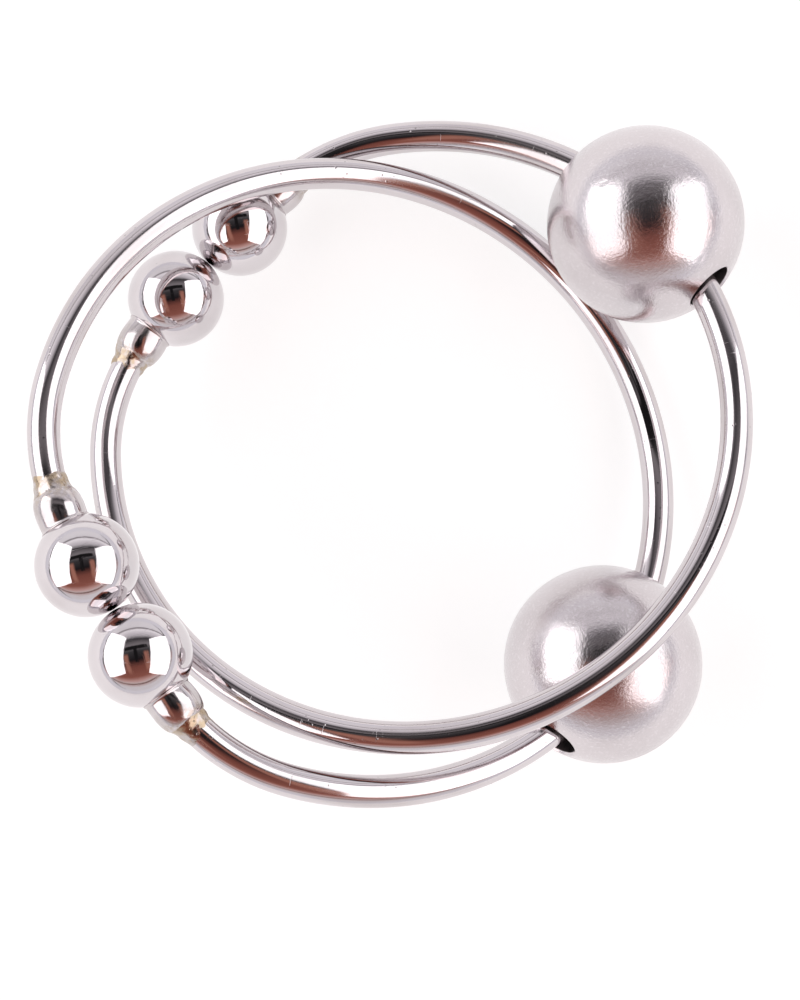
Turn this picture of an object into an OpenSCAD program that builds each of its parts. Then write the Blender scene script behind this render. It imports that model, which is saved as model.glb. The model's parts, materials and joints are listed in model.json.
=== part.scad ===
// Two linked ring puzzle: a pair of C-shaped spring wire rings, each closed by two touching
// end balls and carrying one large drilled ball that slides round it. The rings pass through
// each other. Everything is in millimetres, +Z up, and the puzzle stands on its balls at Z = 0.

/* [Rings] */
// Radius of each ring, from its axis to the middle of the wire
ring_r = 32; // [31:0.5:34]
// Diameter of the wire
wire_d = 3.2; // [2.8:0.1:3.3]
// Radius of the tighter bend that turns each end of the wire in towards the gap
end_bend_r = 20.5; // [20:0.5:24]
// Angle from the middle of the gap at which the tighter bend begins
turn_in_at = 45; // [42:1:48]

/* [End balls] */
// Diameter of the polished balls that close each ring's gap
end_ball_d = 10; // [9.6:0.1:10.2]
// Diameter of the turned-down wire tip that is pressed into an end ball
spigot_d = 2.4; // [1.6:0.1:2.6]
// Length of that wire tip
spigot_l = 3.2; // [2:0.1:5]
// Distance from the wire's shoulder to the middle of its end ball
shoulder_to_ball = 4.6; // [4.4:0.05:4.7]
// Daylight between two end balls when the ring is closed
closed_gap = 0.05; // [0.02:0.01:0.2]

/* [Collars] */
// Diameter of the domed collar behind each end ball
collar_d = 4.9; // [4.4:0.1:5.4]
// Length of the collar along the wire
collar_l = 3.2; // [2.6:0.1:3.6]
// Radius of the collar's dome
dome_r = 3; // [2.8:0.1:3.4]
// Length of the braze fillet that runs from the collar down to the wire
braze_l = 2.3; // [2:0.1:2.6]

/* [Sliding balls] */
// Diameter of the large ball that slides on each ring
slide_ball_d = 20; // [19.5:0.1:20.1]
// Diameter of the straight bore through it
bore_d = 5; // [4.9:0.1:5.6]
// How far the ball sits inside the ring's circle, so that a straight bore clears a curved wire
bore_offset = 0.75; // [0.65:0.05:0.85]
// Width of the chamfer at each mouth of the bore
bore_chamfer = 0.3; // [0.1:0.05:0.5]

/* [Ring 1 at rest] */
// Middle of ring 1 along X
ring_1_x = 0.55; // [0.5:0.05:0.6]
// Middle of ring 1 along Y
ring_1_y = 2.65; // [2.6:0.05:2.7]
// Slope of ring 1 against the table
ring_1_tilt = 16.75; // [16.75:0.05:16.8]
// Compass direction that ring 1 slopes down towards
ring_1_slope_to = 100.3; // [100.2:0.1:100.4]
// Compass direction of ring 1's gap
ring_1_gap_at = 128.4; // [128.3:0.1:128.5]
// Place of ring 1's sliding ball, counted round the ring from its gap
ring_1_ball_at = -98.4; // [-98.6:0.1:-98.4]

/* [Ring 2 at rest] */
// Middle of ring 2 along X
ring_2_x = -5.7; // [-5.75:0.05:-5.65]
// Middle of ring 2 along Y
ring_2_y = -0.95; // [-1:0.05:-0.9]
// Slope of ring 2 against the table
ring_2_tilt = 22.3; // [22.2:0.1:22.4]
// Compass direction that ring 2 slopes down towards
ring_2_slope_to = 22.4; // [22.3:0.1:22.5]
// Compass direction of ring 2's gap
ring_2_gap_at = 199.1; // [199:0.1:199.2]
// Place of ring 2's sliding ball, counted round the ring from its gap
ring_2_ball_at = 111.7; // [111.6:0.1:111.8]

/* [Hidden] */
$fn = 96;

wire_r = wire_d / 2;
end_ball_r = end_ball_d / 2;
slide_ball_r = slide_ball_d / 2;
bore_r = bore_d / 2;
// clearance of the braze on the wire, and of a collar on its ball
seat_clearance = 0.02;
// clearance of a collar's straight bore on the curved wire
collar_clearance = 0.08;
// how far a cut runs past the surface that it opens
cut_over = 1;
// how far the braze runs up the back of the collar
braze_overlap = 0.6;
// how much the wire thins, on its radius, where it is bent tighter
bend_thinning = 0.02;
// degrees that the thinner stretch runs on inside the thicker one
bend_overlap = 2;
// depth of the drill point at the bottom of an end ball's hole
drill_point = spigot_d * 0.3;
drill_tip_r = 0.1;
// stretch of wire that the braze is cut clear of, each way from its middle
braze_cut_l = 5;

// The wire's line is a round back of ring_r and two end arcs of end_bend_r that meet it at
// turn_in_at. The shoulder sits on the end arc where the tangent reaches the end ball's
// middle, and the two balls meet at the ring's plane of symmetry:
// end_bend_r * sin(a) - shoulder_to_ball * cos(a) = ball_y - bend_shift * sin(turn_in_at).
ball_y = end_ball_r + closed_gap / 2;
bend_shift = ring_r - end_bend_r;
reach = sqrt(end_bend_r * end_bend_r + shoulder_to_ball * shoulder_to_ball);
shoulder_at = asin((ball_y - bend_shift * sin(turn_in_at)) / reach)
            + atan(shoulder_to_ball / end_bend_r);
degrees_per_mm = 180 / (PI * end_bend_r);
collar_at = shoulder_at + collar_l / 2 * degrees_per_mm;
braze_at = collar_at + (collar_l / 2 + braze_l / 2 - braze_overlap) * degrees_per_mm;
dome_z = dome_r * 0.3;

// Each ring lies in a plane of its own. In that plane the gap is on +X, and one side of the
// ring is +Y and the other is -Y. The -Y side is the one that is held, and the +Y side
// springs open.
HELD = -1;
SPRUNG = 1;

// Height of a ring's middle that rests its sliding ball on the table.
function ring_height(tilt, slope_to, gap_at, ball_at) =
    slide_ball_r + (ring_r - bore_offset) * sin(tilt) * cos(ball_at + gap_at - slope_to);

module place_ring(x, y, tilt, slope_to, gap_at, ball_at)
    translate([x, y, ring_height(tilt, slope_to, gap_at, ball_at)])
        rotate([0, 0, slope_to])
            rotate([0, tilt, 0])
                rotate([0, 0, gap_at - slope_to])
                    children();

module place_ring_1()
    place_ring(ring_1_x, ring_1_y, ring_1_tilt, ring_1_slope_to, ring_1_gap_at, ring_1_ball_at)
        children();

module place_ring_2()
    place_ring(ring_2_x, ring_2_y, ring_2_tilt, ring_2_slope_to, ring_2_gap_at, ring_2_ball_at)
        children();

// Puts local +Z along the ring's tangent, towards the gap, at an angle and radius on the ring.
module on_ring(angle, radius = ring_r)
    rotate([0, 0, angle])
        translate([radius, 0, 0])
            rotate([90, 0, 0])
                children();

// Middle of the tighter arc at the +Y end of the wire.
module at_end_bend()
    translate([bend_shift * cos(turn_in_at), bend_shift * sin(turn_in_at), 0])
        children();

// The same frame as on_ring, on the tighter arc.
module on_end(angle)
    at_end_bend()
        on_ring(angle, end_bend_r)
            children();

module on_side(side)
    mirror([0, side < 0 ? 1 : 0, 0])
        children();

// A stretch of round tube bent round the origin.
module bent_tube(from, to, radius, bend_r)
    rotate([0, 0, from])
        rotate_extrude(angle = to - from)
            translate([bend_r, 0])
                circle(radius);

// Half of a ring's wire, from the back of the ring to the pressed-in tip.
module wire_half(side)
    color([0.78, 0.75, 0.77])
        on_side(side) {
            bent_tube(turn_in_at, 180, wire_r, ring_r);
            at_end_bend()
                bent_tube(shoulder_at, turn_in_at + bend_overlap,
                          wire_r - bend_thinning, end_bend_r);
            on_end(shoulder_at)
                translate([0, 0, -cut_over / 2])
                    cylinder(r = spigot_d / 2, h = spigot_l + cut_over / 2);
        }

// Polished ball with a blind hole for the wire's tip and a flat spot face for its shoulder.
module end_ball(side)
    color([0.86, 0.84, 0.86])
        on_side(side)
            on_end(shoulder_at)
                difference() {
                    translate([0, 0, shoulder_to_ball])
                        sphere(end_ball_r);
                    translate([0, 0, -cut_over])
                        cylinder(r = wire_r + 2 * seat_clearance, h = cut_over);
                    translate([0, 0, -cut_over])
                        cylinder(r = spigot_d / 2, h = spigot_l + cut_over);
                    translate([0, 0, spigot_l])
                        cylinder(r1 = spigot_d / 2, r2 = drill_tip_r, h = drill_point);
                }

// Outline of the domed collar: a dome at the back that runs into a plain band at the ball.
module collar_outline()
    intersection() {
        translate([0, dome_z])
            circle(dome_r);
        translate([0, -collar_l / 2])
            square([collar_d / 2, collar_l + cut_over / 2]);
    }

// Domed collar that hides the joint between the wire and its end ball.
module collar(side)
    color([0.80, 0.77, 0.78])
        on_side(side)
            difference() {
                on_end(collar_at)
                    rotate_extrude()
                        collar_outline();
                on_end(collar_at)
                    cylinder(r = wire_r + collar_clearance, h = 3 * collar_l, center = true);
                on_end(shoulder_at)
                    translate([0, 0, shoulder_to_ball])
                        sphere(end_ball_r + seat_clearance);
            }

// Outline of the braze: a concave fillet that grows out of the wire towards the collar.
module braze_outline()
    difference() {
        translate([0, -braze_l / 2])
            square([braze_l, braze_l]);
        translate([wire_r + collar_clearance + braze_l, -braze_l / 2])
            circle(braze_l);
    }

// Hollow fillet of braze that fairs the back of the collar into the wire.
module braze(side)
    color([0.66, 0.58, 0.46])
        on_side(side)
            difference() {
                on_end(braze_at)
                    rotate_extrude()
                        braze_outline();
                on_end(collar_at)
                    translate([0, 0, dome_z])
                        sphere(dome_r + seat_clearance);
                at_end_bend()
                    bent_tube(braze_at - braze_cut_l * degrees_per_mm,
                              braze_at + braze_cut_l * degrees_per_mm,
                              wire_r + seat_clearance, end_bend_r);
            }

// Large ball with a straight, chamfered bore along the wire.
module slide_ball(at)
    color([0.72, 0.69, 0.71])
        on_ring(at, ring_r - bore_offset)
            difference() {
                sphere(slide_ball_r);
                cylinder(r = bore_r, h = slide_ball_d + 2 * cut_over, center = true);
                for (end = [-1, 1])
                    translate([0, 0, end * sqrt(slide_ball_r * slide_ball_r - bore_r * bore_r)])
                        rotate([end < 0 ? 180 : 0, 0, 0])
                            translate([0, 0, -bore_chamfer])
                                cylinder(r1 = bore_r, r2 = bore_r + 2 * bore_chamfer,
                                         h = 2 * bore_chamfer);
            }

module ring_1_fixed_arc() place_ring_1() wire_half(HELD);
module ring_1_sprung_arc() place_ring_1() wire_half(SPRUNG);
module ring_1_slide_ball() place_ring_1() slide_ball(ring_1_ball_at);
module ring_1_fixed_end_ball() place_ring_1() end_ball(HELD);
module ring_1_sprung_end_ball() place_ring_1() end_ball(SPRUNG);
module ring_1_fixed_collar() place_ring_1() collar(HELD);
module ring_1_sprung_collar() place_ring_1() collar(SPRUNG);
module ring_1_fixed_braze() place_ring_1() braze(HELD);
module ring_1_sprung_braze() place_ring_1() braze(SPRUNG);
module ring_2_fixed_arc() place_ring_2() wire_half(HELD);
module ring_2_sprung_arc() place_ring_2() wire_half(SPRUNG);
module ring_2_slide_ball() place_ring_2() slide_ball(ring_2_ball_at);
module ring_2_fixed_end_ball() place_ring_2() end_ball(HELD);
module ring_2_sprung_end_ball() place_ring_2() end_ball(SPRUNG);
module ring_2_fixed_collar() place_ring_2() collar(HELD);
module ring_2_sprung_collar() place_ring_2() collar(SPRUNG);
module ring_2_fixed_braze() place_ring_2() braze(HELD);
module ring_2_sprung_braze() place_ring_2() braze(SPRUNG);

ring_1_fixed_arc();
ring_1_sprung_arc();
ring_1_slide_ball();
ring_1_fixed_end_ball();
ring_1_sprung_end_ball();
ring_1_fixed_collar();
ring_1_sprung_collar();
ring_1_fixed_braze();
ring_1_sprung_braze();
ring_2_fixed_arc();
ring_2_sprung_arc();
ring_2_slide_ball();
ring_2_fixed_end_ball();
ring_2_sprung_end_ball();
ring_2_fixed_collar();
ring_2_sprung_collar();
ring_2_fixed_braze();
ring_2_sprung_braze();
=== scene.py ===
"""Looks of a linked ring puzzle: two sprung wire rings, each closed by a pair of polished balls.

A large drilled ball slides on each ring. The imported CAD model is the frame, and each piece here
is worked out in a ring's own plane, with the gap on +X, before it is laid where its ring lies.
Lengths are in metres.
"""
import json
import logging
import math
import random
from dataclasses import dataclass, field
from enum import Enum
from typing import Callable, Union

import bmesh
import bpy
from mathutils import Matrix, Vector, noise


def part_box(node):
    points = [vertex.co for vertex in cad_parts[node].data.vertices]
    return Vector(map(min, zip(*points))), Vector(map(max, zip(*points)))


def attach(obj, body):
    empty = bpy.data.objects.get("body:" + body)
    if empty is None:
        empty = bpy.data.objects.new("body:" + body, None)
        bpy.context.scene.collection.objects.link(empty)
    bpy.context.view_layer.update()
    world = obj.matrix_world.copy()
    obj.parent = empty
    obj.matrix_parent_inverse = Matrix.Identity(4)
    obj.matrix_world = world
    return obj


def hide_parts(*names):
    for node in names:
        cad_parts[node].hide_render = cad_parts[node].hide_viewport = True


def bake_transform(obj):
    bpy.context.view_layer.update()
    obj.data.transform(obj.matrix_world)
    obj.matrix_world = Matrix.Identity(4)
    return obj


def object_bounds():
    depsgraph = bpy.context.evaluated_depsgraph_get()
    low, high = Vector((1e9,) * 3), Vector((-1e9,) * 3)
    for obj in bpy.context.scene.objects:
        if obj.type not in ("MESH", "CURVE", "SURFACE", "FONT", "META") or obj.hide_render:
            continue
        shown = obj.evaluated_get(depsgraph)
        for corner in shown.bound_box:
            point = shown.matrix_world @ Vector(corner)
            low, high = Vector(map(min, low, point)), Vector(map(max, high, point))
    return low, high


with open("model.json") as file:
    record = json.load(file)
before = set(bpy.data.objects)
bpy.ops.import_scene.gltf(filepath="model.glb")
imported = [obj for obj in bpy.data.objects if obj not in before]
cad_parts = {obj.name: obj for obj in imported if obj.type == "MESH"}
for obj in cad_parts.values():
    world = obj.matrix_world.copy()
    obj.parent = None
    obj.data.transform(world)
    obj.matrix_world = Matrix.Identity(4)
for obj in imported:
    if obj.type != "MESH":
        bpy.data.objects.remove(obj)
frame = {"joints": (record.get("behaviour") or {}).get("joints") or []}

CAD_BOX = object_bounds()
MM = 0.001
MERGE = 0.0002 * MM
LOG = logging.getLogger("ring_puzzle")

Colour = tuple[float, float, float]
Point = tuple[float, float]


# ---------------------------------------------------------------- node trees as expressions


@dataclass(frozen=True)
class Signal:
    """A socket of a node tree, which Python's operators combine through Math nodes."""

    graph: "Graph"
    socket: bpy.types.NodeSocket

    def _math(self, operation: str, *values: "Value") -> "Signal":
        """Adds one Math node over the given values."""
        return self.graph.node("ShaderNodeMath", {"operation": operation}, dict(enumerate(values)))

    def __add__(self, other: "Value") -> "Signal":
        """self + other"""
        return self._math("ADD", self, other)

    def __radd__(self, other: "Value") -> "Signal":
        """other + self"""
        return self._math("ADD", other, self)

    def __sub__(self, other: "Value") -> "Signal":
        """self - other"""
        return self._math("SUBTRACT", self, other)

    def __rsub__(self, other: "Value") -> "Signal":
        """other - self"""
        return self._math("SUBTRACT", other, self)

    def __mul__(self, other: "Value") -> "Signal":
        """self * other"""
        return self._math("MULTIPLY", self, other)

    def __rmul__(self, other: "Value") -> "Signal":
        """other * self"""
        return self._math("MULTIPLY", other, self)

    def __truediv__(self, other: "Value") -> "Signal":
        """self / other"""
        return self._math("DIVIDE", self, other)

    def __abs__(self) -> "Signal":
        """abs(self)"""
        return self._math("ABSOLUTE", self)

    def least(self, other: "Value") -> "Signal":
        """The smaller of the two."""
        return self._math("MINIMUM", self, other)

    def ramp(self, low: float, high: float, at_low: float = 0.0, at_high: float = 1.0) -> "Signal":
        """Eases from at_low to at_high as the value goes from low to high.

        Args:
            low: where the ramp starts.
            high: where it ends.
            at_low: result up to low.
            at_high: result from high on.

        Returns:
            The eased value.
        """
        settings = {"interpolation_type": "SMOOTHSTEP", "clamp": True}
        values = {0: self, 1: low, 2: high, 3: at_low, 4: at_high}
        return self.graph.node("ShaderNodeMapRange", settings, values)


Value = Union[float, int, bool, str, tuple, Signal, bpy.types.ID]


class Graph:
    """A node tree that is written as expressions."""

    def __init__(self, tree: bpy.types.NodeTree) -> None:
        """Keeps the tree that nodes are added to."""
        self.tree = tree

    def node(self, kind: str, settings: dict | None = None, values: dict | None = None,
             output: int | str | None = 0) -> Signal:
        """Adds one node.

        Args:
            kind: the node's type.
            settings: properties set before its sockets, with a ramp's stops under "stops".
            values: what each input socket holds or is linked from, by index or name.
            output: which output socket is wanted, or None for a node that has none.

        Returns:
            The wanted output as a signal.
        """
        made = self.tree.nodes.new(kind)
        for name, value in (settings or {}).items():
            if name == "stops":
                self._set_stops(made.color_ramp, value)
            elif name == "captures":
                for capture in value:
                    made.capture_items.new("FLOAT", capture)
            else:
                setattr(made, name, value)
        for key, value in (values or {}).items():
            if isinstance(value, Signal):
                self.tree.links.new(value.socket, made.inputs[key])
            else:
                made.inputs[key].default_value = value
        return Signal(self, None if output is None else made.outputs[output])

    @staticmethod
    def _set_stops(ramp: bpy.types.ColorRamp, stops: list[tuple[float, Colour]]) -> None:
        """Gives a colour ramp its stops.

        Args:
            ramp: the ramp.
            stops: where each stop is, and its colour.
        """
        while len(ramp.elements) < len(stops):
            ramp.elements.new(1.0)
        for element, (position, colour) in zip(ramp.elements, stops):
            element.position = position
            element.color = (*colour, 1.0)

    def attribute(self, name: str, output: str = "Vector") -> Signal:
        """Reads an attribute of the mesh."""
        return self.node("ShaderNodeAttribute", {"attribute_name": name}, output=output)

    def place(self) -> Signal:
        """The object coordinates."""
        return self.node("ShaderNodeTexCoord", output="Object")

    def stretch(self, vector: Signal, by: Colour) -> Signal:
        """A vector with each axis multiplied."""
        settings = {"operation": "MULTIPLY"}
        return self.node("ShaderNodeVectorMath", settings, {0: vector, 1: by})

    def grain(self, vector: Signal, scale: float, detail: float = 3.0, seed: float = 0.0,
              rough: float = 0.5) -> Signal:
        """A noise from 0 to 1.

        Args:
            vector: where it is read.
            scale: waves for each unit of the vector.
            detail: octaves added.
            seed: which of the endless patterns is used.
            rough: strength of the finer octaves.

        Returns:
            The noise.
        """
        values = {"Vector": vector, "W": seed, "Scale": scale, "Detail": detail, "Roughness": rough}
        return self.node("ShaderNodeTexNoise", {"noise_dimensions": "4D"}, values)

    def cells(self, vector: Signal, scale: float) -> Signal:
        """Distance to the nearest of scattered points, for pits."""
        return self.node("ShaderNodeTexVoronoi", None, {"Vector": vector, "Scale": scale})

    def blend_colours(self, factor: Value, first: Value, second: Value) -> Signal:
        """Mixes two colours.

        Args:
            factor: 0 gives the first and 1 the second.
            first: a colour or a signal.
            second: a colour or a signal.

        Returns:
            The mixed colour.
        """
        first, second = (c if isinstance(c, Signal) else (*c, 1.0) for c in (first, second))
        values = {0: factor, 6: first, 7: second}
        return self.node("ShaderNodeMix", {"data_type": "RGBA"}, values, 2)

    def output(self, of: Signal, index: int) -> Signal:
        """Another output of the node that a signal comes from."""
        return Signal(self, of.socket.node.outputs[index])

    def finish(self, shader: Signal) -> None:
        """Ends the tree with its material output."""
        self.node("ShaderNodeOutputMaterial", None, {"Surface": shader}, None)

    def bump(self, height: Signal, depth: float, under: Signal | None = None) -> Signal:
        """Turns a height from 0 to 1 into a normal.

        Args:
            height: the height.
            depth: how deep a height of 1 is.
            under: a bump that this one lies on.

        Returns:
            The normal.
        """
        values: dict = {"Height": height, "Strength": 1.0, "Distance": depth}
        if under is not None:
            values["Normal"] = under
        return self.node("ShaderNodeBump", None, values)


# ---------------------------------------------------------------- finishes


@dataclass(frozen=True)
class Finish:
    """A metal finish. Subclasses paint what changes over the surface."""

    name: str
    colour: Colour
    shade: Colour
    smooth: float
    rough: float

    def material(self) -> bpy.types.Material:
        """Builds the finish's material the first time it is asked for.

        Returns:
            The material.
        """
        found = bpy.data.materials.get(self.name)
        if found:
            return found
        made = bpy.data.materials.new(self.name)
        made.use_nodes = True
        made.node_tree.nodes.clear()
        graph = Graph(made.node_tree)
        colour, roughness, normal = self.paint(graph)
        values = {"Base Color": colour, "Metallic": 1.0, "Roughness": roughness, "Normal": normal}
        graph.finish(graph.node("ShaderNodeBsdfPrincipled", None, values))
        return made

    def paint(self, graph: Graph) -> tuple[Signal, Signal, Signal]:
        """Gives the base colour, the roughness and the normal."""
        raise NotImplementedError


@dataclass(frozen=True)
class DrawnWire(Finish):
    """Plated spring wire: draw lines along it, small pits, and heat tint beside the braze."""

    line_depth: float = 0.0035 * MM
    pit_depth: float = 0.02 * MM
    tint: Colour = (0.42, 0.34, 0.23)
    tint_reach: float = 5.5 * MM
    crust_depth: float = 0.03 * MM
    pit_colour: Colour = (0.18, 0.16, 0.16)

    def paint(self, graph: Graph) -> tuple[Signal, Signal, Signal]:
        """Works in the wire's own space: along it, and round it.

        Args:
            graph: the tree to add to.

        Returns:
            The base colour, the roughness and the normal.
        """
        wire = graph.attribute("wire_space")
        lines = graph.grain(graph.stretch(wire, (35.0, 3600.0, 3600.0)), 1.0, 3.0, 1.0)
        dull = graph.grain(graph.stretch(wire, (90.0, 500.0, 500.0)), 1.0, 4.0, 2.0)
        chance = graph.grain(wire, 420.0, 2.0, 3.0).ramp(0.5, 0.72)
        pits = graph.cells(wire, 1500.0).ramp(0.05, 0.2, 1.0, 0.0) * chance
        hatch = graph.grain(graph.stretch(wire, (5200.0, 260.0, 260.0)), 1.0, 1.0, 4.0)
        nicks = hatch.ramp(0.70, 0.76)
        heat = graph.attribute("end_reach", "Fac").ramp(0.0, self.tint_reach, 1.0, 0.0)
        crust = graph.grain(wire, 2600.0, 3.0, 5.0).ramp(0.42, 0.62) * heat
        colour = graph.blend_colours(dull.ramp(0.45, 0.7, 0.0, 0.55), self.colour, self.shade)
        colour = graph.blend_colours(crust * 0.75, colour, self.tint)
        colour = graph.blend_colours(pits * 0.7, colour, self.pit_colour)
        roughness = dull.ramp(0.35, 0.75, self.smooth, self.rough) + pits * 0.25 + crust * 0.28
        normal = graph.bump(lines, self.line_depth)
        normal = graph.bump(pits + nicks * 0.12, -self.pit_depth, normal)
        return colour, roughness, graph.bump(crust, self.crust_depth, normal)


@dataclass(frozen=True)
class MirrorPlate(Finish):
    """Bright plate on the end balls: hairline scratches, faint smears and a few specks."""

    hair_depth: float = 0.0012 * MM
    haze_depth: float = 0.006 * MM
    speck_colour: Colour = (0.30, 0.27, 0.27)

    def paint(self, graph: Graph) -> tuple[Signal, Signal, Signal]:
        """Works in object space.

        Args:
            graph: the tree to add to.

        Returns:
            The base colour, the roughness and the normal.
        """
        place = graph.place()
        swirl = graph.grain(graph.stretch(place, (1.0, 0.35, 1.7)), 330.0, 2.0, 1.0)
        cross = graph.grain(graph.stretch(place, (0.4, 1.6, 0.7)), 420.0, 2.0, 2.0)
        hair = abs(swirl - 0.5).ramp(0.0, 0.006, 1.0, 0.0)
        hair = hair + abs(cross - 0.52).ramp(0.0, 0.005, 1.0, 0.0)
        smear = graph.grain(place, 160.0, 4.0, 3.0)
        specks = graph.cells(place, 900.0).ramp(0.04, 0.11, 1.0, 0.0)
        specks = specks * graph.grain(place, 300.0, 1.0, 4.0).ramp(0.56, 0.7)
        haze = graph.grain(place, 1000.0, 3.0, 5.0)
        colour = graph.blend_colours(smear.ramp(0.45, 0.75, 0.0, 0.6), self.colour, self.shade)
        colour = graph.blend_colours(specks * 0.5, colour, self.speck_colour)
        roughness = smear.ramp(0.35, 0.7, self.smooth, self.rough) + hair * 0.05 + specks * 0.2
        normal = graph.bump(haze, self.haze_depth)
        return colour, roughness, graph.bump(hair + specks, -self.hair_depth, normal)


@dataclass(frozen=True)
class PolishedCollar(Finish):
    """Hand-polished plate on the collars, softly uneven and dulled towards the braze."""

    lump_depth: float = 0.03 * MM
    fine_depth: float = 0.004 * MM
    crust_colour: Colour = (0.42, 0.34, 0.24)

    def paint(self, graph: Graph) -> tuple[Signal, Signal, Signal]:
        """Works in object space, with the height along the collar in an attribute.

        Args:
            graph: the tree to add to.

        Returns:
            The base colour, the roughness and the normal.
        """
        place = graph.place()
        lumps = graph.grain(place, 520.0, 2.0, 1.0)
        fine = graph.grain(place, 2600.0, 3.0, 2.0)
        back = graph.attribute("from_ball", "Fac").ramp(0.45, 1.0)
        crust = fine.ramp(0.4, 0.62) * back
        colour = graph.blend_colours(lumps.ramp(0.4, 0.75, 0.0, 0.7), self.colour, self.shade)
        colour = graph.blend_colours(crust * 0.55, colour, self.crust_colour)
        roughness = lumps.ramp(0.3, 0.7, self.smooth, self.rough) + crust * 0.22
        normal = graph.bump(lumps, self.lump_depth)
        return colour, roughness, graph.bump(fine, self.fine_depth, normal)


@dataclass(frozen=True)
class PittedBraze(Finish):
    """Braze under thin plate: brassy patches, pits and a grainy skin."""

    skin_depth: float = 0.012 * MM
    pit_depth: float = 0.02 * MM
    pit_colour: Colour = (0.20, 0.16, 0.12)

    def paint(self, graph: Graph) -> tuple[Signal, Signal, Signal]:
        """Works in object space.

        Args:
            graph: the tree to add to.

        Returns:
            The base colour, the roughness and the normal.
        """
        place = graph.place()
        patch = graph.grain(place, 900.0, 3.0, 1.0)
        skin = graph.grain(place, 3600.0, 4.0, 2.0)
        pits = graph.cells(place, 1500.0).ramp(0.08, 0.22, 1.0, 0.0)
        colour = graph.blend_colours(patch.ramp(0.4, 0.62), self.colour, self.shade)
        colour = graph.blend_colours(pits * 0.55, colour, self.pit_colour)
        roughness = skin.ramp(0.3, 0.7, self.smooth, self.rough) + pits * 0.15
        normal = graph.bump(skin, self.skin_depth)
        return colour, roughness, graph.bump(pits, -self.pit_depth, normal)


@dataclass(frozen=True)
class TumbledBall(Finish):
    """Satin tumbled steel: fine sparkle with painted glints, worn bright patches, scratches and
    painted shade in the bore.
    """

    sparkle_depth: float = 0.027 * MM
    # colour of the painted glints
    glint: Colour = (0.90, 0.87, 0.90)
    # colour of the painted shade inside the bore
    bore_painted_shade: Colour = (0.13, 0.11, 0.11)
    dent_depth: float = 0.012 * MM

    def paint(self, graph: Graph) -> tuple[Signal, Signal, Signal]:
        """Works in object space, with the bore marked by an attribute.

        Args:
            graph: the tree to add to.

        Returns:
            The base colour, the roughness and the normal.
        """
        place = graph.place()
        sparkle = graph.grain(place, 3300.0, 3.0, 1.0, 0.65)
        worn = graph.grain(place, 95.0, 4.0, 2.0)
        long_marks = graph.grain(graph.stretch(place, (1.0, 0.12, 0.3)), 420.0, 0.0, 3.0)
        cross_marks = graph.grain(graph.stretch(place, (0.1, 1.0, 0.25)), 380.0, 0.0, 4.0)
        broken = graph.grain(place, 260.0, 1.0, 5.0).ramp(0.5, 0.62)
        marks = abs(long_marks - 0.47).ramp(0.0, 0.0035, 1.0, 0.0)
        marks = (marks + abs(cross_marks - 0.55).ramp(0.0, 0.003, 1.0, 0.0)) * broken
        dings = graph.cells(place, 420.0).ramp(0.03, 0.1, 1.0, 0.0)
        dings = dings * graph.grain(place, 150.0, 1.0, 6.0).ramp(0.52, 0.64)
        bore = graph.attribute("bore", "Fac")
        colour = graph.blend_colours(worn.ramp(0.4, 0.75, 0.0, 0.65), self.colour, self.shade)
        # painted glints: the base colour is lightened where the sparkle noise peaks
        glint = sparkle.ramp(0.52, 0.68, 0.0, 0.28)
        colour = graph.blend_colours(glint, colour, self.glint)
        # painted shade: the base colour is darkened inside the bore
        colour = graph.blend_colours(bore * 0.9, colour, self.bore_painted_shade)
        roughness = worn.ramp(0.3, 0.75, self.smooth, self.rough) + bore * 0.2 - marks * 0.04
        normal = graph.bump(sparkle, self.sparkle_depth)
        return colour, roughness, graph.bump(marks * 0.2 + dings, -self.dent_depth, normal)


@dataclass(frozen=True)
class StudioPaper:
    """The pale floor: matt white paper that glows a little, as over a light table."""

    name: str = "studio_paper"
    white: Colour = (0.42, 0.42, 0.42)
    glow: float = 0.70

    def material(self) -> bpy.types.Material:
        """Builds the paper, with a faint tooth in its surface.

        Returns:
            The material.
        """
        made = bpy.data.materials.new(self.name)
        made.use_nodes = True
        made.node_tree.nodes.clear()
        graph = Graph(made.node_tree)
        tooth = graph.grain(graph.place(), 900.0, 2.0)
        values = {
            "Base Color": (*self.white, 1.0),
            "Roughness": tooth.ramp(0.3, 0.7, 0.85, 0.95),
            "Emission Color": (1.0, 1.0, 1.0, 1.0),
            "Emission Strength": self.glow,
            "Normal": graph.bump(tooth, 0.01 * MM),
        }
        graph.finish(graph.node("ShaderNodeBsdfPrincipled", None, values))
        return made


WIRE = DrawnWire("plated_wire", (0.66, 0.62, 0.635), (0.50, 0.455, 0.45), 0.06, 0.18)
MIRROR = MirrorPlate("mirror_plate", (0.68, 0.645, 0.66), (0.57, 0.53, 0.54), 0.02, 0.08)
COLLAR = PolishedCollar("polished_collar", (0.62, 0.58, 0.59), (0.48, 0.44, 0.43), 0.06, 0.2)
BRAZE = PittedBraze("pitted_braze", (0.44, 0.35, 0.25), (0.52, 0.48, 0.47), 0.12, 0.3)
SATIN = TumbledBall("tumbled_steel", (0.66, 0.62, 0.635), (0.54, 0.50, 0.51), 0.14, 0.26)


# ---------------------------------------------------------------- places


class Side(Enum):
    """The two sides of a ring: the held one is fixed, and the sprung one opens."""

    HELD = "fixed"
    SPRUNG = "sprung"


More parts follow.
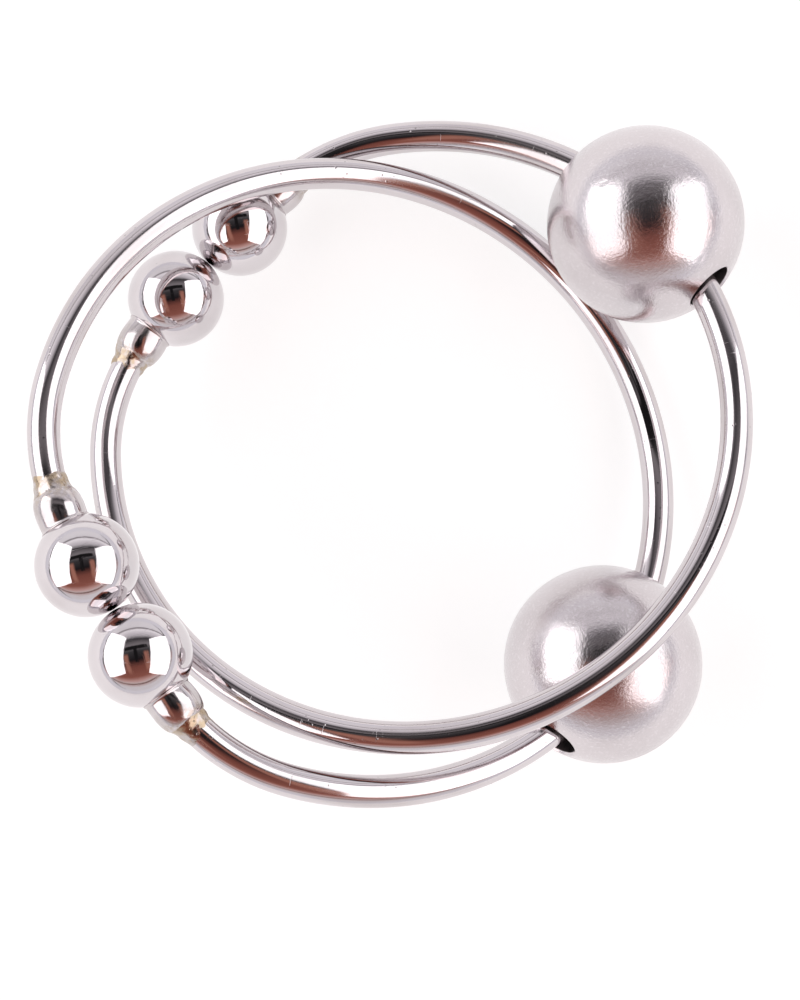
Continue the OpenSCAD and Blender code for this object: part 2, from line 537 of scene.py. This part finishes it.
@dataclass
class RingPlane:
    """A ring's own plane, read from the frame: gap on +X, ring axis on +Z, middle at the origin."""

    number: int
    to_row: Matrix = field(init=False)

    def __post_init__(self) -> None:
        """Finds the plane from the ring's two hinges."""
        slide = self._joint(f"ball_{self.number}_slide")
        gap = self._joint(f"ring_{self.number}_gap")
        middle, hinge = Vector(slide["pos_m"]), Vector(gap["pos_m"])
        towards_gap = (middle - hinge).normalized()
        up = Vector(slide["axis"]).normalized()
        up = (up - towards_gap * up.dot(towards_gap)).normalized()
        turn = Matrix((towards_gap, up.cross(towards_gap), up)).transposed()
        self.to_row = Matrix.Translation(middle) @ turn.to_4x4()

    @staticmethod
    def _joint(name: str) -> dict:
        """The frame's joint of that name."""
        return next(joint for joint in frame["joints"] if joint["name"] == name)

    def node(self, piece: str, side: Side | None = None) -> str:
        """Name of this ring's CAD node for a piece."""
        return "_".join([f"ring_{self.number}", *([side.value] if side else []), piece])

    def body(self, side: Side) -> str:
        """Name of the body that a side of the ring belongs to."""
        return f"ring_{self.number}" + ("" if side is Side.HELD else "_spring_side")

    def middle_of(self, node: str) -> Vector:
        """Middle of a CAD node's box, in the ring's plane."""
        low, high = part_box(node)
        return self.to_row.inverted() @ ((low + high) / 2)

    def half(self, side: Side) -> Matrix:
        """Takes the +Y half of the ring's plane to the row frame, on that side's half."""
        across = 1 if self.middle_of(self.node("end_ball", side)).y > 0 else -1
        return self.to_row @ Matrix.Diagonal((1, across, 1, 1))


@dataclass(frozen=True)
class Bend:
    """The wire's line in a ring's plane: a round back, then tighter ends that turn in."""

    back_radius: float = 32.0 * MM
    end_radius: float = 20.5 * MM
    turn_in_at: float = math.radians(45.0)
    shoulder_to_ball: float = 4.6 * MM
    ball_y: float = 5.025 * MM

    def shoulder_angle(self) -> float:
        """Finds where the wire's shoulder lies, so that the two end balls just meet.

        Returns:
            Its angle on the tighter end arc.
        """
        reach = math.hypot(self.end_radius, self.shoulder_to_ball)
        rise = self.ball_y - (self.back_radius - self.end_radius) * math.sin(self.turn_in_at)
        return math.asin(rise / reach) + math.atan(self.shoulder_to_ball / self.end_radius)

    def frame(self, distance: float) -> Matrix:
        """A frame on the wire, with +Z along it towards its end and +X out of the ring.

        Args:
            distance: how far back from the shoulder, along the wire.

        Returns:
            The frame, in the +Y half of the ring's plane.
        """
        shoulder = self.shoulder_angle()
        end_length = (self.turn_in_at - shoulder) * self.end_radius
        shift = self.back_radius - self.end_radius
        centre = Vector((shift * math.cos(self.turn_in_at), shift * math.sin(self.turn_in_at), 0))
        radius, angle = self.end_radius, shoulder + max(distance, 0.0) / self.end_radius
        if distance > end_length:
            centre, radius = Vector(), self.back_radius
            angle = self.turn_in_at + (distance - end_length) / self.back_radius
        out = Vector((math.cos(angle), math.sin(angle), 0))
        onward = Vector((math.sin(angle), -math.cos(angle), 0))
        turn = Matrix((out, Vector((0, 0, -1)), onward)).transposed().to_4x4()
        place = centre + radius * out - onward * min(distance, 0.0)
        return Matrix.Translation(place) @ turn

    def half_length(self) -> float:
        """Length of the wire from a shoulder to the back of the ring."""
        end_part = (self.turn_in_at - self.shoulder_angle()) * self.end_radius
        return end_part + (math.pi - self.turn_in_at) * self.back_radius


# ---------------------------------------------------------------- meshes


def arc(middle: float, radius: float, first: float, last: float, steps: int) -> list[Point]:
    """Points (distance from the axis, height) of an arc round a point of the axis.

    Args:
        middle: height of the arc's centre.
        radius: its radius.
        first: angle down from the top at which it begins.
        last: angle at which it ends.
        steps: number of stretches.

    Returns:
        The points.
    """
    angles = [first + (last - first) * i / steps for i in range(steps + 1)]
    return [(radius * math.sin(a), middle + radius * math.cos(a)) for a in angles]


def eased(outline: list[Point], reach: float, closed: bool = False) -> list[Point]:
    """Rounds the sharp corners of an outline.

    Args:
        outline: its points.
        reach: how far from a corner the rounding begins.
        closed: whether the last point joins the first.

    Returns:
        The outline with each corner turned into a short curve.
    """
    made: list[Point] = []
    for i, corner in enumerate(outline):
        if not closed and i in (0, len(outline) - 1):
            made.append(corner)
            continue
        here = Vector(corner)
        before, after = Vector(outline[i - 1]), Vector(outline[(i + 1) % len(outline)])
        if (here - before).angle(after - here, 0.0) < math.radians(15):
            made.append(corner)
            continue
        start = here + (before - here).normalized() * min(reach, (before - here).length / 2)
        stop = here + (after - here).normalized() * min(reach, (after - here).length / 2)
        for t in (0.0, 0.25, 0.5, 0.75, 1.0):
            made.append(tuple(start.lerp(here, t).lerp(here.lerp(stop, t), t)))
    return made


def loop(frame_at: Matrix, radius: Callable[[float], float], height: Callable[[float], float],
         segments: int) -> list[Vector]:
    """One loop of points round a frame's +Z.

    Args:
        frame_at: the frame.
        radius: gives the distance from the axis at an angle.
        height: gives the height at an angle.
        segments: number of points.

    Returns:
        The points.
    """
    points = []
    for i in range(segments):
        angle = math.tau * i / segments
        r = radius(angle)
        points.append(frame_at @ Vector((r * math.cos(angle), r * math.sin(angle), height(angle))))
    return points


def lathe(frame_at: Matrix, outline: list[Point], segments: int) -> list[list[Vector]]:
    """Turns an outline round a frame's +Z, as one loop of points for each of its points."""
    return [loop(frame_at, lambda a, r=r: r, lambda a, z=z: z, segments) for r, z in outline]


def skin(name: str, loops: list[list[Vector]], closed: bool, marks: dict[str, list[float]]) -> (
        bpy.types.Object):
    """Joins loops of points into a mesh object that sits at the origin.

    Args:
        name: name of the object.
        loops: the loops, in the row frame. A loop of no width is a pole.
        closed: whether the last loop joins the first.
        marks: values stored on the points as attributes, one for each loop.

    Returns:
        The object, smooth, with its doubles merged and its normals outward.
    """
    sheet = bmesh.new()
    layers = {mark: sheet.verts.layers.float.new(mark) for mark in marks}
    rows = []
    for index, points in enumerate(loops):
        row = [sheet.verts.new(point) for point in points]
        for mark, layer in layers.items():
            for vert in row:
                vert[layer] = marks[mark][index]
        rows.append(row)
    for first, second in zip(rows, rows[1:] + (rows[:1] if closed else [])):
        for i in range(len(first)):
            j = (i + 1) % len(first)
            sheet.faces.new((first[i], first[j], second[j], second[i]))
    bmesh.ops.remove_doubles(sheet, verts=sheet.verts, dist=MERGE)
    bmesh.ops.recalc_face_normals(sheet, faces=sheet.faces)
    mesh = bpy.data.meshes.new(name)
    sheet.to_mesh(mesh)
    sheet.free()
    mesh.shade_smooth()
    made = bpy.data.objects.new(name, mesh)
    bpy.context.scene.collection.objects.link(made)
    return made


def dress(piece: bpy.types.Object, finish: Finish, slot: str, *nodes: str) -> None:
    """Gives a piece its material, and names the CAD nodes that it stands for.

    Args:
        piece: the piece.
        finish: its finish.
        slot: the record's slot that the finish stands for; not used.
        nodes: the CAD nodes.
    """
    piece.data.materials.clear()
    piece.data.materials.append(finish.material())
    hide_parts(*nodes)
    faces = len(piece.data.polygons)
    LOG.info("%s: %d faces, stands for %s", piece.name, faces, ", ".join(nodes))


# ---------------------------------------------------------------- pieces


@dataclass(frozen=True)
class Wire:
    """A ring's spring wire in one piece, swept along its line by a Geometry Nodes tree."""

    plane: RingPlane
    bend: Bend
    radius: float = 1.6 * MM
    steps: int = 480
    sides: int = 56
    flex_reach: float = 8.0 * MM
    unevenness: float = 0.008
    waves_per_metre: float = 240.0

    def line(self) -> bpy.types.Object:
        """Draws the wire's line, from the -Y shoulder round the back to the +Y one.

        Returns:
            An object of edges only.
        """
        half = self.bend.half_length()
        distances = [half * i / (self.steps // 2) for i in range(self.steps // 2 + 1)]
        side = [self.bend.frame(distance).translation for distance in distances]
        points = [Vector((p.x, -p.y, p.z)) for p in side] + side[-2::-1]
        mesh = bpy.data.meshes.new(f"line_{self.plane.number}")
        edges = [(i, i + 1) for i in range(len(points) - 1)]
        mesh.from_pydata([self.plane.to_row @ p for p in points], edges, [])
        made = bpy.data.objects.new(f"wire_{self.plane.number}_line", mesh)
        bpy.context.scene.collection.objects.link(made)
        return made

    def tree(self) -> bpy.types.NodeTree:
        """Builds the sweep, which marks each point with its place along and round the wire.

        Returns:
            The tree, whose inputs are "Thickness" and "Unevenness".
        """
        tree = bpy.data.node_groups.new(f"drawn_wire_{self.plane.number}", "GeometryNodeTree")
        face = tree.interface
        face.new_socket("Line", in_out="INPUT", socket_type="NodeSocketGeometry")
        for name in ("Thickness", "Unevenness"):
            face.new_socket(name, in_out="INPUT", socket_type="NodeSocketFloat")
        face.new_socket("Wire", in_out="OUTPUT", socket_type="NodeSocketGeometry")
        graph = Graph(tree)
        given = graph.node("NodeGroupInput")
        line, thickness, uneven = (graph.output(given, i) for i in range(3))
        curve = graph.node("GeometryNodeMeshToCurve", None, {0: line})
        even = graph.node("GeometryNodeResampleCurve", None, {"Curve": curve, "Count": self.steps})
        along = graph.node("GeometryNodeSplineParameter", output="Length")
        place = graph.node("GeometryNodeInputPosition")
        waves = graph.grain(place, self.waves_per_metre, 1.0, 7.0)
        sized = graph.node("GeometryNodeSetCurveRadius", None,
                           {"Curve": even, "Radius": (waves - 0.5) * uneven + 1.0})
        marked = graph.node("GeometryNodeCaptureAttribute", {"captures": ("along",)},
                            {0: sized, 1: along})
        length = graph.node("GeometryNodeSplineLength", output="Length")
        whole = graph.node("GeometryNodeCaptureAttribute", {"captures": ("length",)},
                           {0: marked, 1: length})
        circle = graph.node("GeometryNodeCurvePrimitiveCircle", None,
                            {"Resolution": self.sides, "Radius": thickness})
        factor = graph.node("GeometryNodeSplineParameter", output="Factor")
        turned = graph.node("GeometryNodeCaptureAttribute", {"captures": ("round",)},
                            {0: circle, 1: factor})
        swept = graph.node("GeometryNodeCurveToMesh", None,
                           {"Curve": whole, "Profile Curve": turned, "Fill Caps": True})
        angle = graph.output(turned, 1) * math.tau
        at = graph.output(marked, 1)
        cosine = graph.node("ShaderNodeMath", {"operation": "COSINE"}, {0: angle}) * thickness
        sine = graph.node("ShaderNodeMath", {"operation": "SINE"}, {0: angle}) * thickness
        space = graph.node("ShaderNodeCombineXYZ", None, {0: at, 1: cosine, 2: sine})
        store = "GeometryNodeStoreNamedAttribute"
        kept = graph.node(store, {"data_type": "FLOAT_VECTOR"},
                          {"Geometry": swept, "Name": "wire_space", "Value": space})
        kept = graph.node(store, {"data_type": "FLOAT"},
                          {"Geometry": kept, "Name": "end_reach",
                           "Value": at.least(graph.output(whole, 1) - at)})
        smooth = graph.node("GeometryNodeSetShadeSmooth", None, {"Geometry": kept})
        real = graph.node("GeometryNodeRealizeInstances", None, {"Geometry": smooth})
        done = graph.node("GeometryNodeSetMaterial", None,
                          {"Geometry": real, "Material": WIRE.material()})
        graph.node("NodeGroupOutput", None, {0: done}, None)
        return tree

    def build(self) -> bpy.types.Object:
        """Sweeps the wire and turns the result into a plain mesh.

        Returns:
            The dressed wire.
        """
        line = self.line()
        sweep = line.modifiers.new("sweep", "NODES")
        sweep.node_group = self.tree()
        wanted = {"Thickness": self.radius, "Unevenness": self.unevenness}
        for item in sweep.node_group.interface.items_tree:
            if item.item_type == "SOCKET" and item.name in wanted:
                sweep[item.identifier] = wanted[item.name]
        seen = line.evaluated_get(bpy.context.evaluated_depsgraph_get())
        mesh = bpy.data.meshes.new_from_object(seen)
        bpy.data.objects.remove(line)
        sheet = bmesh.new()
        sheet.from_mesh(mesh)
        bmesh.ops.remove_doubles(sheet, verts=sheet.verts, dist=MERGE)
        bmesh.ops.recalc_face_normals(sheet, faces=sheet.faces)
        sheet.to_mesh(mesh)
        sheet.free()
        made = bpy.data.objects.new(f"spring_wire_{self.plane.number}", mesh)
        bpy.context.scene.collection.objects.link(made)
        plane = self.plane
        dress(made, WIRE, "wire", plane.node("arc", Side.HELD), plane.node("arc", Side.SPRUNG))
        ends = [plane.half(side) @ Vector((-self.bend.back_radius, self.flex_reach, 0))
                for side in (Side.HELD, Side.SPRUNG)]
        plane.body(Side.HELD)
        plane.body(Side.SPRUNG)
        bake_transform(made)
        return made


@dataclass(frozen=True)
class WireEnd:
    """One end of a ring: polished ball, domed collar and the braze behind it."""

    plane: RingPlane
    bend: Bend
    side: Side
    ball_radius: float = 5.0 * MM
    wire_radius: float = 1.6 * MM
    tip_radius: float = 1.2 * MM
    hole_depth: float = 3.2 * MM
    drill_point: float = 0.72 * MM
    spot_margin: float = 0.04 * MM
    edge_ease: float = 0.03 * MM
    collar_radius: float = 2.45 * MM
    collar_length: float = 3.2 * MM
    shoulder_height: float = 0.45 * MM
    bore_clearance: float = 0.05 * MM
    taper: float = 0.09 * MM
    rim: float = 0.06 * MM
    rim_round: float = 0.05 * MM
    lump: float = 0.035 * MM
    segments: int = 96
    braze_radius: float = 2.15 * MM
    braze_length: float = 3.1 * MM
    braze_start: float = 0.75 * MM
    braze_sunk: float = 0.2 * MM
    toe_sunk: float = 0.05 * MM

    def _name(self, piece: str) -> str:
        """A piece's name."""
        return f"{piece}_{self.plane.number}_{self.side.name.lower()}"

    def _seed(self) -> Vector:
        """Where this end reads its noise, so that no two ends are alike."""
        return Vector((self.plane.number * 3.7, 5.1 if self.side is Side.HELD else -2.3, 1.9))

    def _ride(self, made: bpy.types.Object, finish: Finish, piece: str) -> None:
        """Dresses a piece, and lets it ride on its side's body.

        Args:
            made: the piece.
            finish: its finish.
            piece: ending of the CAD node's name, which is the record's slot too.
        """
        dress(made, finish, piece, self.plane.node(piece, self.side))
        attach(made, self.plane.body(self.side))

    def ball(self) -> None:
        """The polished ball, with the drilled hole and spot face that its wire sits in."""
        centre, spot = self.bend.shoulder_to_ball, self.wire_radius + self.spot_margin
        tip = self.hole_depth + self.drill_point
        rim_angle = math.pi - math.asin(spot / self.ball_radius)
        hole = [(0.0, tip), (self.tip_radius, self.hole_depth), (self.tip_radius, 0.0), (spot, 0.0)]
        shell = arc(centre, self.ball_radius, rim_angle, 0.0, 110)
        outline = eased(hole + shell, self.edge_ease)
        at = self.plane.half(self.side) @ self.bend.frame(0.0)
        self._ride(skin(self._name("polished_ball"), lathe(at, outline, 144), False, {}),
                   MIRROR, "end_ball")

    def collar(self) -> None:
        """The domed collar: dome, plain band, and a thin rim that follows the ball."""
        half = self.collar_length / 2
        at = self.bend.frame(half)
        ball = at.inverted() @ self.bend.frame(-self.bend.shoulder_to_ball).translation
        bore, band = self.wire_radius + self.bore_clearance, self.shoulder_height
        bulge = self.collar_radius - bore
        turns = [math.pi / 2 * t / 24 for t in range(25)]
        # each point is (radius, height, share of the way from the dome to the ball's face)
        stations = [(bore + bulge * math.sin(a), band - (half + band) * math.cos(a), 0.0)
                    for a in turns]
        crown = self.collar_radius + self.rim
        stations += [(self.collar_radius - self.taper * (t / 8) ** 2, band, t / 8)
                     for t in range(1, 8)]
        stations += [(self.collar_radius, band, 0.90), (crown - 0.02 * MM, band, 0.92),
                     (crown, band, 0.95), (crown, band, 0.99), (crown - self.rim_round, band, 1.01)]
        stations += [(bore, band, 1.03), (bore, -half, 0.0)]
        seed, loops, marks = self._seed(), [], []
        for radius, height, share in stations:
            lumps = self.lump if radius > bore + self.taper else 0.0

            def wide(a: float, r: float = radius, z: float = height, lumps: float = lumps) -> float:
                """Radius of the loop, with a little unevenness."""
                spot = Vector((math.cos(a), math.sin(a), z / self.collar_length)) * 1.6 + seed
                return r + lumps * noise.noise(spot)

            def high(a: float, r: float = radius, z: float = height, share: float = share) -> float:
                """Height of the loop, which leans over to follow the ball."""
                aside = Vector((r * math.cos(a) - ball.x, r * math.sin(a) - ball.y))
                face = ball.z - math.sqrt(self.ball_radius ** 2 - aside.length_squared)
                return z + (face - z) * share

            loops.append(loop(self.plane.half(self.side) @ at, wide, high, self.segments))
            marks.append((half - height) / self.collar_length * (1 - share))
        made = skin(self._name("domed_collar"), loops, True, {"from_ball": marks})
        self._ride(made, COLLAR, "collar")

    def braze(self) -> None:
        """The braze: a lumpy, concave fillet from the wire up to the back of the collar."""
        seed, steps, loops = self._seed(), 26, []
        start = self.collar_length - self.braze_start
        inner = self.wire_radius - self.braze_sunk
        for i in range(steps + 1):
            share = i / steps
            here = self.plane.half(self.side) @ self.bend.frame(start + self.braze_length * share)

            def wide(a: float, share: float = share) -> float:
                """Radius of the loop: a concave fall to the wire, with lumps that die out."""
                spot = Vector((math.cos(a), math.sin(a), share * 2.4)) + seed
                fall = max(0.0, 1 - share * (1.0 + 0.35 * noise.noise(spot * 1.3)))
                rise = (self.braze_radius - self.wire_radius) * fall ** 2.1
                lumps = 0.09 * noise.noise(spot * 2.0) + 0.03 * noise.noise(spot * 5.0)
                skin_r = self.wire_radius + rise + lumps * MM * min(1.0, 2.5 * fall)
                return skin_r - self.toe_sunk * share

            loops.append(loop(here, wide, lambda a: 0.0, 80))
        for share in (1.0, 0.0):
            here = self.plane.half(self.side) @ self.bend.frame(start + self.braze_length * share)
            loops.append(loop(here, lambda a: inner, lambda a: 0.0, 80))
        self._ride(skin(self._name("braze_fillet"), loops, True, {}), BRAZE, "braze")

    def build(self) -> None:
        """Builds the three pieces."""
        self.ball()
        self.collar()
        self.braze()


@dataclass(frozen=True)
class SlideBall:
    """The large drilled ball that slides on a ring."""

    plane: RingPlane
    bend: Bend
    radius: float = 10.0 * MM
    bore_radius: float = 2.5 * MM
    chamfer: float = 0.24 * MM
    edge_ease: float = 0.05 * MM
    bore_offset: float = 0.75 * MM
    dents: int = 26
    dent_depth: float = 0.03 * MM
    dent_width: float = 0.35 * MM

    def outline(self) -> tuple[list[Point], list[float]]:
        """Draws the ball's outline.

        Returns:
            Its points, and 1 for each point that is inside the bore and 0 for the others.
        """
        mouth = self.bore_radius + self.chamfer
        rim = math.asin(mouth / self.radius)
        shell = arc(0.0, self.radius, rim, math.pi - rim, 190)
        depth = self.radius * math.cos(rim) - self.chamfer
        walls = [(self.bore_radius, -depth + 2 * depth * i / 24) for i in range(25)]
        points = eased(shell + walls, self.edge_ease, True)
        return points, [1.0 if r < self.bore_radius + 0.02 * MM else 0.0 for r, _ in points]

    def build(self) -> None:
        """Turns the ball round its bore and presses in a few small dents."""
        node = self.plane.node("slide_ball")
        middle = self.plane.middle_of(node)
        angle = math.atan2(middle.y, middle.x)
        out = Vector((math.cos(angle), math.sin(angle), 0))
        onward = Vector((-math.sin(angle), math.cos(angle), 0))
        turn = Matrix((out, Vector((0, 0, -1)), onward)).transposed().to_4x4()
        place = (self.bend.back_radius - self.bore_offset) * out
        at = self.plane.to_row @ Matrix.Translation(place) @ turn
        points, bore = self.outline()
        loops = lathe(at, points, 256)
        centre = at.translation
        draw = random.Random(40 + self.plane.number)
        for _ in range(self.dents):
            towards = Vector([draw.gauss(0, 1) for _ in range(3)]).normalized()
            dent = centre + towards * self.radius
            width = self.dent_width * draw.uniform(0.4, 1.2)
            for row, inside in zip(loops, bore):
                for point in row:
                    if not inside and (point - dent).length < 3 * width:
                        depth = self.dent_depth * math.exp(-((point - dent).length / width) ** 2)
                        point -= towards * depth
        made = skin(f"drilled_ball_{self.plane.number}", loops, True, {"bore": bore})
        dress(made, SATIN, "slide_ball", node)
        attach(made, f"ring_{self.plane.number}_ball")


# ---------------------------------------------------------------- studio


@dataclass(frozen=True)
class Softbox:
    """A large soft light beside the table, seen in the metal but not by the camera."""

    name: str
    towards: float
    from_zenith: float = math.radians(53.0)
    distance: float = 0.75
    height: float = 0.66
    width: float = 1.2
    power: float = 4.4
    colour: Colour = (1.0, 0.985, 0.995)

    def build(self, aim: Vector) -> None:
        """Hangs the light.

        Args:
            aim: the point that it faces.
        """
        data = bpy.data.lights.new(self.name, "AREA")
        data.shape, data.size, data.size_y = "RECTANGLE", self.width, self.height
        data.energy, data.color = self.power, self.colour
        light = bpy.data.objects.new(self.name, data)
        bpy.context.scene.collection.objects.link(light)
        away = Vector((math.sin(self.from_zenith) * math.cos(self.towards),
                       math.sin(self.from_zenith) * math.sin(self.towards),
                       math.cos(self.from_zenith)))
        light.location = aim + away * self.distance
        light.rotation_euler = away.to_track_quat("Z", "Y").to_euler()
        light.visible_camera = False


@dataclass(frozen=True)
class Room:
    """What the metal reflects: a pale room with a dark gap overhead and a warm wall."""

    horizon: Colour = (0.86, 0.84, 0.90)
    bar: Colour = (0.012, 0.011, 0.012)
    copper: Colour = (0.44, 0.19, 0.14)
    strength: float = 1.0

    def build(self) -> None:
        """Paints the room on the world, by where a ray would meet a ceiling 1 m up."""
        world = bpy.data.worlds.new("room")
        world.use_nodes = True
        world.node_tree.nodes.clear()
        graph = Graph(world.node_tree)
        way = graph.node("ShaderNodeSeparateXYZ", None,
                         {0: graph.node("ShaderNodeTexCoord", output="Generated")})
        across, along, up = (graph.output(way, i) for i in range(3))
        rise = graph.node("ShaderNodeMath", {"operation": "MAXIMUM"}, {0: up, 1: 0.05})
        across, along = across / rise, along / rise
        stops = [
            # the warm wall in front, crossed by one dark shelf
            (0.0, (0.80, 0.76, 0.78)), (0.13, (0.66, 0.52, 0.50)), (0.17, (0.16, 0.07, 0.06)),
            (0.21, (0.70, 0.56, 0.54)), (0.27, (0.62, 0.36, 0.32)), (0.33, (0.33, 0.12, 0.09)),
            # the dark gap overhead
            (0.43, (0.24, 0.08, 0.06)), (0.48, (0.015, 0.012, 0.014)), (0.53, (0.05, 0.047, 0.05)),
            (0.58, (0.24, 0.22, 0.23)), (0.63, (0.04, 0.036, 0.04)),
            # the pale panel behind, with one beam
            (0.67, (0.62, 0.59, 0.62)), (0.78, (1.10, 1.06, 1.10)), (0.83, (0.20, 0.18, 0.19)),
            (0.88, (0.90, 0.87, 0.90)), (1.0, (0.92, 0.89, 0.92)),
        ]
        share = graph.node("ShaderNodeMapRange", {"clamp": True},
                           {0: along, 1: -3.0, 2: 3.0, 3: 0.0, 4: 1.0})
        ceiling = graph.node("ShaderNodeValToRGB", {"stops": stops}, {0: share})
        stem = abs(across).ramp(0.05, 0.08, 1.0, 0.0) * along.ramp(-0.25, -0.2)
        stem = stem * along.ramp(0.3, 0.33, 1.0, 0.0)
        top = abs(across).ramp(0.5, 0.56, 1.0, 0.0) * abs(along - 0.36).ramp(0.06, 0.09, 1.0, 0.0)
        ceiling = graph.blend_colours((stem + top).least(1.0), ceiling, self.bar)
        flank = abs(abs(across) - 0.42).ramp(0.04, 0.16, 1.0, 0.0) * along.ramp(-0.9, -0.5)
        flank = flank * along.ramp(0.05, 0.2, 1.0, 0.0)
        ceiling = graph.blend_colours(flank, ceiling, self.copper)
        frame_line = abs(abs(across) - 4.6).ramp(0.3, 0.6, 1.0, 0.0)
        ceiling = graph.blend_colours(frame_line, ceiling, self.bar)
        seen = graph.blend_colours(up.ramp(0.10, 0.20, 1.0, 0.0), ceiling, self.horizon)
        graph.tree.links.new(
            graph.node("ShaderNodeBackground", None,
                       {"Color": seen, "Strength": self.strength}).socket,
            graph.tree.nodes.new("ShaderNodeOutputWorld").inputs["Surface"])
        bpy.context.scene.world = world


@dataclass(frozen=True)
class Viewpoint:
    """The camera: almost straight above, a little turned, with a long lens."""

    lens: float = 79.2
    distance: float = 219.0 * MM
    lean: Point = (0.0330, -0.0448)
    turn: float = math.radians(12.0)
    aim: Point = (-2.41 * MM, -4.57 * MM)

    def build(self, middle: Vector) -> None:
        """Makes the camera, aimed at a point beside the middle of the CAD box.

        Args:
            middle: the middle of the CAD box.
        """
        data = bpy.data.cameras.new("camera")
        data.lens, data.sensor_width = self.lens, 36.0
        data.clip_start, data.clip_end = 0.01, 20.0
        camera = bpy.data.objects.new("camera", data)
        bpy.context.scene.collection.objects.link(camera)
        back = Vector((*self.lean, math.sqrt(1 - self.lean[0] ** 2 - self.lean[1] ** 2)))
        top = Vector((math.sin(self.turn), math.cos(self.turn), 0))
        top = (top - back * top.dot(back)).normalized()
        turn = Matrix((top.cross(back), top, back)).transposed().to_4x4()
        place = middle + Vector((*self.aim, 0)) + back * self.distance
        camera.matrix_world = Matrix.Translation(place) @ turn
        bpy.context.scene.camera = camera


@dataclass(frozen=True)
class Studio:
    """Pale floor, two softboxes, the room and the camera."""

    floor_size: float = 6.0

    def build(self) -> None:
        """Sets up everything round the object."""
        low, high = CAD_BOX
        middle = (low + high) / 2
        sheet = bmesh.new()
        bmesh.ops.create_grid(sheet, x_segments=8, y_segments=8, size=self.floor_size / 2)
        mesh = bpy.data.meshes.new("paper_floor")
        sheet.to_mesh(mesh)
        sheet.free()
        floor = bpy.data.objects.new("paper_floor", mesh)
        floor.location.z = low.z
        bpy.context.scene.collection.objects.link(floor)
        mesh.materials.append(StudioPaper().material())
        Softbox("softbox_right", math.radians(-12.0)).build(middle)
        Softbox("softbox_left", math.radians(168.0)).build(middle)
        Room().build()
        Viewpoint().build(middle)
        bpy.context.scene.view_settings.view_transform = "Standard"


def main() -> None:
    """Builds both rings' pieces and the studio, in order."""
    logging.basicConfig(level=logging.INFO, format="%(message)s")
    bend = Bend()
    for number in (1, 2):
        plane = RingPlane(number)
        Wire(plane, bend).build()
        for side in Side:
            WireEnd(plane, bend, side).build()
        SlideBall(plane, bend).build()
    Studio().build()


if __name__ == "__main__":
    main()
